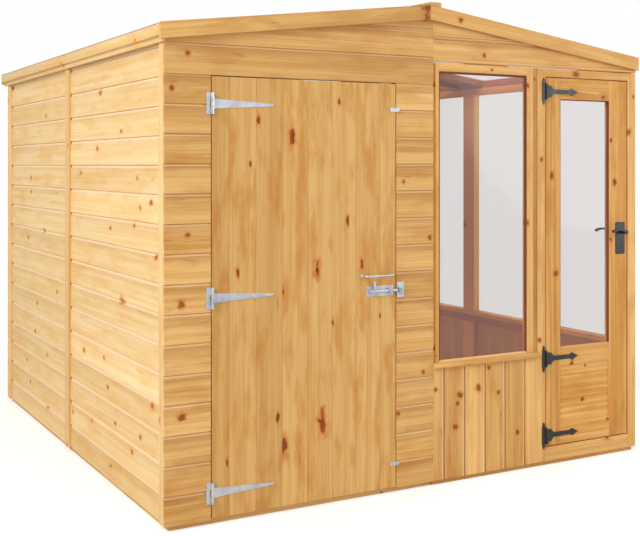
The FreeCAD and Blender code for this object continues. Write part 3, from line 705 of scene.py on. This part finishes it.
# Knots, listed as (place along the wall, height, radius) in metres. Places run from the left front
# corner: along the front for the front's lists, and back along the side for the side's.
DOOR_KNOTS = [
    (0.545, 1.490, 0.010), (0.660, 0.955, 0.009), (0.510, 0.260, 0.009), (0.685, 0.335, 0.012),
    (0.395, 1.550, 0.005), (0.305, 0.960, 0.005), (0.875, 0.965, 0.005), (0.805, 1.150, 0.005),
    (0.360, 1.380, 0.003), (0.765, 1.635, 0.004), (0.735, 0.740, 0.004), (0.505, 0.875, 0.004),
    (0.965, 0.750, 0.003), (0.480, 0.380, 0.005), (0.260, 0.230, 0.004), (0.625, 0.290, 0.004),
]
FRONT_KNOTS = [
    (0.095, 1.800, 0.007), (0.030, 1.665, 0.006), (0.095, 1.110, 0.006), (0.070, 0.850, 0.009),
    (0.070, 0.425, 0.009), (1.085, 1.305, 0.006), (1.220, 1.065, 0.006), (1.185, 0.495, 0.006),
    (1.055, 0.330, 0.006), (1.515, 1.860, 0.006), (2.055, 1.800, 0.010), (1.245, 1.720, 0.006),
    (1.245, 0.590, 0.006), (1.765, 1.735, 0.006), (1.765, 1.115, 0.006), (1.910, 1.325, 0.009),
    (1.930, 0.875, 0.009), (1.885, 0.105, 0.006), (2.280, 1.495, 0.005), (2.305, 1.295, 0.008),
    (2.280, 1.020, 0.006), (2.365, 0.415, 0.005), (2.230, 1.695, 0.006), (2.030, 0.455, 0.006),
    (2.255, 0.270, 0.008), (2.260, 0.170, 0.006), (2.165, 0.415, 0.005), (2.255, 0.080, 0.005),
    (1.250, 0.410, 0.006), (1.385, 0.375, 0.009), (1.370, 0.340, 0.006), (1.355, 0.240, 0.008),
    (1.480, 0.395, 0.009), (1.595, 0.365, 0.006), (1.540, 0.480, 0.006), (1.705, 0.175, 0.007),
    (1.190, 2.040, 0.012), (1.190, 2.005, 0.009),
]
SIDE_KNOTS = [
    (0.785, 1.695, 0.008), (0.830, 1.450, 0.007), (0.510, 1.515, 0.006), (1.660, 1.630, 0.007),
    (0.165, 1.230, 0.008), (0.285, 1.205, 0.006), (0.355, 1.130, 0.006), (0.650, 1.105, 0.006),
    (0.115, 1.020, 0.008), (2.020, 0.980, 0.007), (1.700, 1.035, 0.007), (1.960, 1.230, 0.006),
    (0.320, 1.325, 0.006), (1.065, 1.340, 0.006), (1.460, 0.740, 0.007), (1.835, 0.640, 0.007),
    (1.875, 0.485, 0.007), (1.640, 0.400, 0.006), (2.045, 0.305, 0.006), (1.980, 0.195, 0.006),
    (0.500, 0.810, 0.013), (1.015, 0.520, 0.007), (0.730, 0.535, 0.006), (0.680, 0.415, 0.006),
    (0.155, 0.440, 0.009), (1.190, 0.200, 0.006), (0.900, 0.220, 0.006), (0.585, 0.280, 0.006),
    (0.285, 0.290, 0.007), (0.380, 0.210, 0.007),
]


def on_front(knots):
    return [((LEFT + x, FRONT, z), size) for x, z, size in knots]


def on_side(knots):
    return [((SIDE_FACE, FRONT + y, z), size) for y, z, size in knots]


# Boards that are paler than their neighbours, by their place in the wall. On the left wall they are a painted patch of
# light; on the shed door they are the boards' own paler tone.
PALE_BOARDS = {"shed_wall_left_front": {8: 0.9, 9: 1.3, 10: 0.9}, "shed_door_boards": {5: 0.8, 6: 1.3}}

# Boarded walls
boarded("left_wall_boards", ["shed_wall_left_front", "shed_wall_left_rear"], "building", side_cladding,
        "cladding_pine", 11, profile=WIDE_SHIPLAP, places=on_side(SIDE_KNOTS), knotty=0.25, stretch=1.5, spread=0.9)
boarded("front_wall_boards", ["shed_wall_front_left", "shed_wall_front_right"], "building",
        cladding, "cladding_pine", 12, pitch=FRONT_PITCH, first=FRONT_FIRST_SEAM, places=on_front(FRONT_KNOTS),
        knotty=0.25, spread=1.0)
boarded("front_gable_boards", ["shed_front_gable"], "building", cladding, "cladding_pine", 17,
        first=GABLE_FIRST_SEAM, pitch=GABLE_PITCH, places=on_front(FRONT_KNOTS), knotty=0.25, tone=0.9, spread=0.9)
boarded("rear_wall_boards", ["shed_wall_rear"], "building", side_cladding, "cladding_pine", 13,
        profile=WIDE_SHIPLAP, spread=0.9)
boarded("greenhouse_gable_boards", ["greenhouse_gables"], "building", cladding, "cladding_pine", 14,
        first=DRIP_BOTTOM, pitch=GABLE_PITCH, places=on_front(FRONT_KNOTS), knotty=0.3, tone=1.3, spread=0.6)
boarded("greenhouse_wall_boards", ["greenhouse_boards", "greenhouse_rear_boards"], "building", cladding,
        "cladding_pine", 15, upright=True, pitch=UPRIGHT_PITCH, first=UPRIGHT_FIRST_SEAM, profile=UPRIGHT_BOARD,
        places=on_front(FRONT_KNOTS), knotty=0.25, tone=-0.5, spread=1.2)
boarded("shed_door_face", ["shed_door_boards"], "shed_door", door_wood, "door_pine", 16, upright=True,
        pitch=DOOR_PITCH, first=DOOR_FIRST_SEAM, profile=(lambda p, t: vee_board(p, t, 0.0009), None),
        places=on_front(DOOR_KNOTS), knotty=0.0, stretch=2.6, spread=1.1)

# Planed timbers outside
dressed_timber("cover_strips", ["shed_cover_strips"], "building", side_cladding, "cladding_pine", 21)
dressed_timber("greenhouse_head_timbers", ["greenhouse_heads"], "building", cladding, "cladding_pine", 23)
dressed_timber("sill_timbers", ["greenhouse_sills"], "building", cladding, "cladding_pine", 24)
dressed_timber("rear_sill_timber", ["greenhouse_rear_sill"], "building", cladding, "cladding_pine", 25)
dressed_timber("door_frame_timbers", ["greenhouse_door_posts", "greenhouse_door_foot", "greenhouse_door_threshold",
                                      "greenhouse_door_head"], "building", cladding, "cladding_pine", 26,
               places=on_front(FRONT_KNOTS))
dressed_timber("barge_timbers_left", ["bargeboards_left"], "building", cladding, "cladding_pine", 27,
               places=on_front(FRONT_KNOTS))
dressed_timber("barge_timbers_right", ["bargeboards_right"], "building", cladding, "cladding_pine", 28)
dressed_timber("eaves_timber", ["eaves_fascia"], "building", side_cladding, "cladding_pine", 29)
dressed_timber("ridge_timber", ["ridge_cap"], "building", cladding, "cladding_pine", 30)


def greenhouse_stiles():
    """The uprights, with a rebate where the two halves meet and another beside the door frame."""
    wood = Wood(22)
    jamb = span("greenhouse_door_posts")[0].x
    for solid in solids_of("greenhouse_stiles"):
        low, high = box_of(solid)
        parts = [(solid, None)]
        if low.y < FRONT + 0.001:
            lower_head(solid)
            at_join = low.x < JOIN + 0.001
            edge = Vector((JOIN + JOIN_REBATE if at_join else jamb - STILE_REBATE, 0, 0))
            away = Vector((-1 if at_join else 1, 0, 0))
            sunk = sink(solid, edge, away)
            # The part set back in the rebate is painted darker, as painted shade in its rebate
            parts = [(solid, 0.4), (sunk, SUNK_SHADE)]
        for part, tone in parts:
            along, across, outward = UP, None, facing(low, high)
            across = outward.cross(along) if outward is not None else Vector((1, 0, 0))
            outward = outward if outward is not None else Vector((0, 1, 0))
            knots = knots_on(on_front(FRONT_KNOTS), low, along, across, outward, part)
            soften(part)
            wood.add(part, low, along, across, outward, knots, 0.4, 1.3, tone)
    wood.piece("greenhouse_stile_timbers", "building", cladding, "cladding_pine", ["greenhouse_stiles"])


greenhouse_stiles()


def roof_joint_board():
    """A board under the glass between the middle pair of rafters, where the roof's two halves meet."""
    rafters = sorted(solids_of("rafters_right"), key=lambda s: box_of(s)[0].y)
    near, far = rafters[1], rafters[2]
    start, end = box_of(near)[1].y, box_of(far)[0].y
    low, high = box_of(near)
    middle = (low.y + high.y) / 2
    under = {}
    for vert in near.verts:
        key = round(vert.co.x, 3)
        under[key] = max(under.get(key, 0), vert.co.z)
    for vert in near.verts:
        vert.co.y = start if vert.co.y < middle else end
        top = under[round(vert.co.x, 3)]
        if vert.co.z < top - 0.002:
            vert.co.z = top - 0.012
    near.normal_update()
    along, across, outward = Vector((0, 1, 0)), Vector((1, 0, 0)), UP
    wood = Wood(38)
    wood.add(near, box_of(near)[0], along, across, outward, (), 0.3, 1.3)
    wood.piece("roof_joint_board", "building", framing, "framing_pine", ())


roof_joint_board()


def half_round(width, rise, steps=6):
    """Section of a bead that stands on a flat back."""
    turns = [math.pi * i / steps for i in range(steps + 1)]
    return [(0, 0)] + [(width / 2 * (1 - math.cos(t)), 0.0005 + rise * math.sin(t)) for t in turns] + [(width, 0)]


def bead_section(width, room):
    return [(0, 0), (0, room), (width * 0.35, room), (width, room * 0.4), (width, 0)]


def moulding(wood, section, start, length, along, across, outward, planes=(), tone=0.0, pale=0.0):
    solid = board_solid(section, 0, length, start, along, across, outward)
    for point, normal in planes:
        clip(solid, point, normal)
    # pale sets a painted highlight along the whole moulding
    wood.add(solid, start, along, across, outward, (), 0.0, 1.0, tone, lambda v, w: (pale, 0.0))


def gable_mouldings():
    """Two drips across the greenhouse gable and a bead above its head, tucked behind the bargeboard, each with a
    painted highlight along it.
    """
    wood = Wood(31)
    gable = min(solids_of("greenhouse_gables"), key=lambda s: box_of(s)[0].y)
    planes = [(f.verts[0].co.copy(), f.normal.copy()) for f in gable.faces if abs(f.normal.y) < 0.5]
    along, outward = Vector((1, 0, 0)), Vector((0, -1, 0))
    half = (DRIP_TOP - DRIP_BOTTOM) / 2
    for bottom, height, proud in ((DRIP_BOTTOM, half, DRIP_PROUD), (DRIP_BOTTOM + half, half, DRIP_PROUD),
                                  (HEAD_BEAD_BOTTOM, HEAD_BEAD_TOP - HEAD_BEAD_BOTTOM, 0.005)):
        start = Vector((JOIN, FRONT, bottom))
        moulding(wood, half_round(height, proud), start, RIGHT - JOIN, along, UP, outward, planes, 0.6, 0.45)
    wood.piece("gable_drips", "building", cladding, "cladding_pine", ())


gable_mouldings()


def pane_beads(wood, pane, wall_face, dark, width):
    """Beads that hold a pane on its outer side: the two sides and the top, painted dark as painted shade in the reveal,
    or only the lower one, with a painted highlight.
    """
    low, high = box_of(pane)
    thin = 0 if high.x - low.x < high.y - low.y else 1
    outward = Vector((0, 0, 0))
    outward[thin] = 1.0 if wall_face > 0 else -1.0
    face = high[thin] if wall_face > 0 else low[thin]
    room = abs(wall_face - face) - 0.001
    level = Vector((0, 0, 0))
    level[1 - thin] = 1.0

    def corner(a, z):
        spot = a * level[0], a * level[1], z
        place = Vector(spot)
        place[thin] = face
        return place

    a0, a1 = low[1 - thin], high[1 - thin]
    run = high.z - low.z - 2 * width
    section = bead_section(width, room)
    if dark:
        moulding(wood, section, corner(a0, low.z + width), run, UP, level, outward)
        moulding(wood, section, corner(a1, low.z + width), run, UP, -level, outward)
        moulding(wood, section, corner(a0, high.z), a1 - a0, level, -UP, outward)
    else:
        moulding(wood, section, corner(a0, low.z), a1 - a0, level, UP, outward, (), 0.6, 0.5)


def glazing_beads():
    # The window beads are painted dark as painted shade in the reveals; the sill beads carry a painted highlight
    for name, material, dark in (("window_beads", shaded_bead_wood, True), ("window_sill_beads", cladding, False)):
        wood = Wood(32 if dark else 33)
        for pane in solids_of("greenhouse_panes"):
            low, high = box_of(pane)
            if high.x - low.x > high.y - low.y:
                pane_beads(wood, pane, FRONT if low.y < 0 else REAR, dark, BEAD)
            pane.free()
        wood.piece(name, "building", material, "cladding_pine", ())
        wood = Wood(34 if dark else 35)
        for pane in solids_of("greenhouse_door_pane"):
            pane_beads(wood, pane, FRONT, dark, DOOR_BEAD)
            pane.free()
        wood.piece("door_" + name, "greenhouse_door", material if dark else garden_door_wood, "door_pine", ())


glazing_beads()

# Framing inside and below
for index, node in enumerate(("floor_end_joists", "floor_bearers", "greenhouse_end_plates", "greenhouse_side_plate")):
    dressed_timber(node + "_timber", [node], "building", base_wood, "framing_pine", 36 + index)
for index, node in enumerate(("shed_wall_studs", "shed_side_rails", "shed_end_rails", "greenhouse_bottom_rails",
                              "wall_plates", "ridge_beam", "rafters_left", "rafters_right", "shed_roof_purlins",
                              "shed_roof_deck", "greenhouse_roof_bars", "shed_floor")):
    dressed_timber(node + "_timber", [node], "building", framing, "framing_pine", 40 + index)

# Doors
dressed_timber("shed_door_ledge_timbers", ["shed_door_ledges", "shed_door_braces"], "shed_door", base_wood,
               "framing_pine", 60)
dressed_timber("greenhouse_door_frame", ["greenhouse_door_stiles", "greenhouse_door_rails"], "greenhouse_door",
               garden_door_wood, "door_pine", 61, places=on_front(FRONT_KNOTS), knotty=0.2)
boarded("greenhouse_door_panel_boards", ["greenhouse_door_panel"], "greenhouse_door", garden_door_wood,
        "door_pine", 62, pitch=PANEL_PITCH, first=PANEL_FIRST_SEAM, profile=(lambda p, t: vee_board(p, t, 0.0012), None))


def dress(node, material):
    """A CAD solid whose shape is right keeps it and takes its finish."""
    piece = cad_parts[node]
    piece.data.materials.clear()
    piece.data.materials.append(material)


for node in ("greenhouse_panes", "greenhouse_roof_panes", "greenhouse_door_pane"):
    dress(node, glass)
for node in ("shed_hinge_plates", "shed_hinge_straps", "shed_pull_handle", "shed_bolt_base", "shed_bolt_rod",
             "shed_bolt_keeper", "turn_button_lower", "turn_button_upper"):
    dress(node, zinc)
for node in ("greenhouse_hinge_plates", "greenhouse_hinge_straps", "greenhouse_door_levers"):
    dress(node, black)
dress("shed_roof_felt", felt)



def turned(bm, profile, centre, outward, sides=12):
    """A small solid turned about an axis square to the wall, from (radius, height) points."""
    rings = []
    for radius, height in profile:
        ring = []
        for i in range(sides):
            turn = 2 * math.pi * i / sides
            offset = Vector((radius * math.cos(turn), outward * height, radius * math.sin(turn)))
            ring.append(bm.verts.new(Vector(centre) + offset))
        rings.append(ring)
    for lower, upper in zip(rings, rings[1:]):
        for i in range(sides):
            j = (i + 1) % sides
            bm.faces.new([lower[i], lower[j], upper[j], upper[i]])
    bm.faces.new(rings[0])
    bm.faces.new(rings[-1])


def screws(name, body, material, groups):
    """Domed screw heads with a sunk socket, on plates that face the front or the inside."""
    bm = bmesh.new()
    for radius, outward, places in groups:
        rise = radius * 0.32
        profile = [(radius, 0), (radius * 0.9, rise * 0.5), (radius * 0.66, rise * 0.86), (radius * 0.42, rise),
                   (radius * 0.36, rise * 0.3)]
        for place in places:
            turned(bm, profile, place, outward)
    bmesh.ops.recalc_face_normals(bm, faces=bm.faces)
    mesh = bpy.data.meshes.new(name)
    bm.to_mesh(mesh)
    bm.free()
    show(mesh, name, body, material)


IRON = 0.0025
PLATE_SCREWS = (-0.032, 0.0, 0.032)
STRAP_SCREWS = ((0.036, 0.010), (0.036, -0.010), (0.112, 0.0), (0.186, 0.0), (0.248, 0.0))
OLD_PLATE_SCREWS = (-0.026, 0.0, 0.026)
OLD_STRAP_SCREWS = ((0.030, 0.017), (0.030, -0.017), (0.076, 0.0), (0.122, 0.0), (0.172, 0.0))


def boxes(node):
    found = []
    for solid in solids_of(node):
        found.append(box_of(solid))
        solid.free()
    return found


def plate_corners(low, high, inset):
    return [(x, z) for x in (low.x + inset, high.x - inset) for z in (low.z + inset, high.z - inset)]


def add_screws():
    shed_face = FRONT - IRON
    fixed = [(low.x + 0.008, shed_face, (low.z + high.z) / 2 + dz) for low, high in boxes("shed_hinge_plates")
             for dz in PLATE_SCREWS]
    low, high = boxes("shed_bolt_keeper")[0]
    fixed += [(x, shed_face, z) for x, z in plate_corners(low, high, 0.007)]
    screws("shed_wall_screws", "building", zinc, [(0.0034, -1, fixed)])
    moving = [(low.x + dx, shed_face, (low.z + high.z) / 2 + dz) for low, high in boxes("shed_hinge_straps")
              for dx, dz in STRAP_SCREWS]
    low, high = boxes("shed_bolt_base")[0]
    moving += [(x, shed_face, z) for x, z in plate_corners(low, high, 0.007)]
    low, high = boxes("shed_pull_handle")[0]
    middle = (low.z + high.z) / 2
    moving += [(x, shed_face, middle) for x in (low.x + 0.009, low.x + 0.027, high.x - 0.027, high.x - 0.009)]
    screws("shed_door_screws", "shed_door", zinc, [(0.0034, -1, moving)])

    old_face = FRONT - 0.004
    fixed = [(low.x + 0.0085, old_face, (low.z + high.z) / 2 + dz) for low, high in boxes("greenhouse_hinge_plates")
             for dz in OLD_PLATE_SCREWS]
    screws("greenhouse_post_screws", "building", black, [(0.0036, -1, fixed)])
    moving = [(low.x + dx, old_face, (low.z + high.z) / 2 + dz) for low, high in boxes("greenhouse_hinge_straps")
              for dx, dz in OLD_STRAP_SCREWS]
    groups = [(0.0036, -1, moving)]
    for low, high in boxes("greenhouse_lock_plates"):
        outward = -1 if low.y < FRONT else 1
        face = low.y if outward < 0 else high.y
        groups.append((0.0032, outward, [(x, face, z) for x, z in plate_corners(low, high, 0.008)]))
    screws("greenhouse_door_screws", "greenhouse_door", black, groups)


add_screws()


def lock_plates():
    """The lever plates with rounded corners and a keyhole cut through them."""
    bm = bmesh.new()
    for low, high in boxes("greenhouse_lock_plates"):
        outward = -1 if low.y < FRONT else 1
        back, face = (high.y, low.y) if outward < 0 else (low.y, high.y)
        outline = rounded_outline(low.x, high.x, low.z, high.z, 0.007)
        middle = (low.x + high.x) / 2
        hole = keyhole_outline(middle, low.z + 0.045)
        loops = []
        for y in (back, face):
            edges = []
            rings = []
            for points in (outline, hole):
                ring = [bm.verts.new((x, y, z)) for x, z in points]
                rings.append(ring)
                edges += [bm.edges.new((ring[i], ring[(i + 1) % len(ring)])) for i in range(len(ring))]
            bmesh.ops.triangle_fill(bm, edges=edges, use_beauty=True)
            loops.append(rings)
        for back_ring, face_ring in zip(*loops):
            for i in range(len(back_ring)):
                j = (i + 1) % len(back_ring)
                bm.faces.new([back_ring[i], back_ring[j], face_ring[j], face_ring[i]])
    bmesh.ops.recalc_face_normals(bm, faces=bm.faces)
    mesh = bpy.data.meshes.new("lever_plates")
    bm.to_mesh(mesh)
    bm.free()
    show(mesh, "lever_plates", "greenhouse_door", black, ["greenhouse_lock_plates"])


def arc_points(x, z, radius, start, end, steps):
    turns = [math.radians(start + (end - start) * i / steps) for i in range(steps + 1)]
    return [(x + radius * math.cos(t), z + radius * math.sin(t)) for t in turns]


def rounded_outline(x0, x1, z0, z1, radius):
    corners = ((x1 - radius, z1 - radius, 0), (x0 + radius, z1 - radius, 90),
               (x0 + radius, z0 + radius, 180), (x1 - radius, z0 + radius, 270))
    return [point for x, z, turn in corners for point in arc_points(x, z, radius, turn, turn + 90, 5)]


def keyhole_outline(x, z):
    return arc_points(x, z, 0.0045, -60, 240, 12) + [(x - 0.0026, z - 0.014), (x + 0.0026, z - 0.014)]


lock_plates()


def floor_material():
    """A pale floor that fades to plain white away from the building."""
    n = Nodes("studio_floor")
    tree = n.tree
    n.shader.inputs["Base Color"].default_value = (0.86, 0.86, 0.86, 1)
    n.shader.inputs["Roughness"].default_value = 1.0
    n.shader.inputs["Specular IOR Level"].default_value = 0.0
    n.shader.inputs["Emission Color"].default_value = (1, 1, 1, 1)
    rays = tree.nodes.new("ShaderNodeLightPath")
    watched = n.maths("MAXIMUM", rays.outputs["Is Camera Ray"], rays.outputs["Is Transmission Ray"])
    n.link(n.maths("MULTIPLY", watched, FLOOR_GLOW), n.shader.inputs["Emission Strength"])
    place = tree.nodes.new("ShaderNodeTexCoord").outputs["Object"]
    far = n.spread(n.vector("LENGTH", place), FLOOR_NEAR, FLOOR_FAR)
    white = tree.nodes.new("ShaderNodeEmission")
    white.inputs["Color"].default_value = (1, 1, 1, 1)
    white.inputs["Strength"].default_value = 1.0
    blend = tree.nodes.new("ShaderNodeMixShader")
    n.link(n.maths("MULTIPLY", far, watched), blend.inputs[0])
    n.link(n.shader.outputs[0], blend.inputs[1])
    n.link(white.outputs[0], blend.inputs[2])
    n.link(blend.outputs[0], tree.nodes["Material Output"].inputs["Surface"])
    return n.material


# Studio
FLOOR_GLOW = 0.35
FLOOR_NEAR = 1.9
FLOOR_FAR = 3.4
camera_data = bpy.data.cameras.new("camera")
camera_data.sensor_width = 36.0
camera_data.lens = 57.57
camera_data.shift_x = 0.0875
camera_data.shift_y = -0.161
camera = bpy.data.objects.new("camera", camera_data)
camera.location = (-2.6505, -4.781, 1.376)
camera.rotation_euler = (math.radians(90), 0, math.radians(-27.46))
bpy.context.scene.collection.objects.link(camera)
bpy.context.scene.camera = camera
bpy.context.scene.view_settings.view_transform = "Standard"

world = bpy.data.worlds.new("studio")
world.use_nodes = True
bpy.context.scene.world = world
background = world.node_tree.nodes["Background"]
light_path = world.node_tree.nodes.new("ShaderNodeLightPath")
seen = world.node_tree.nodes.new("ShaderNodeMath")
seen.operation = "MAXIMUM"
world.node_tree.links.new(light_path.outputs["Is Camera Ray"], seen.inputs[0])
world.node_tree.links.new(light_path.outputs["Is Transmission Ray"], seen.inputs[1])
seen_too = world.node_tree.nodes.new("ShaderNodeMath")
seen_too.operation = "MAXIMUM"
world.node_tree.links.new(seen.outputs[0], seen_too.inputs[0])
world.node_tree.links.new(light_path.outputs["Is Glossy Ray"], seen_too.inputs[1])
level = world.node_tree.nodes.new("ShaderNodeMapRange")
level.inputs["To Min"].default_value = 0.56
level.inputs["To Max"].default_value = 1.0
world.node_tree.links.new(seen_too.outputs[0], level.inputs["Value"])
background.inputs["Color"].default_value = (1, 1, 1, 1)
world.node_tree.links.new(level.outputs[0], background.inputs["Strength"])

floor_mesh = bpy.data.meshes.new("studio_floor")
reach = 40.0
floor_mesh.from_pydata([(-reach, -reach, 0), (reach, -reach, 0), (reach, reach, 0), (-reach, reach, 0)], [],
                       [(0, 1, 2, 3)])
floor = bpy.data.objects.new("studio_floor", floor_mesh)
bpy.context.scene.collection.objects.link(floor)
floor_mesh.materials.append(floor_material())


def aim(light, place, target):
    light.location = place
    light.rotation_euler = (Vector(target) - Vector(place)).to_track_quat("-Z", "Y").to_euler()
    bpy.context.scene.collection.objects.link(light)


def area_light(name, place, target, size, power):
    data = bpy.data.lights.new(name, "AREA")
    data.shape = "DISK"
    data.size = size
    data.energy = power
    aim(bpy.data.objects.new(name, data), place, target)


area_light("key", (-7.0, -4.0, 5.0), (0, 0, 1.0), 4.0, 390)
area_light("fill", (3.6, -3.8, 1.9), (0.9, -1.2, 1.0), 2.2, 50)

roof_light = bpy.data.lights.new("roof_light", "SPOT")
roof_light.energy = 4600
roof_light.spot_size = math.radians(12)
roof_light.spot_blend = 0.5
roof_light.shadow_soft_size = 0.8
aim(bpy.data.objects.new("roof_light", roof_light), (0.65, 0.0, 12.0), (0.65, 0.01, 0.0))
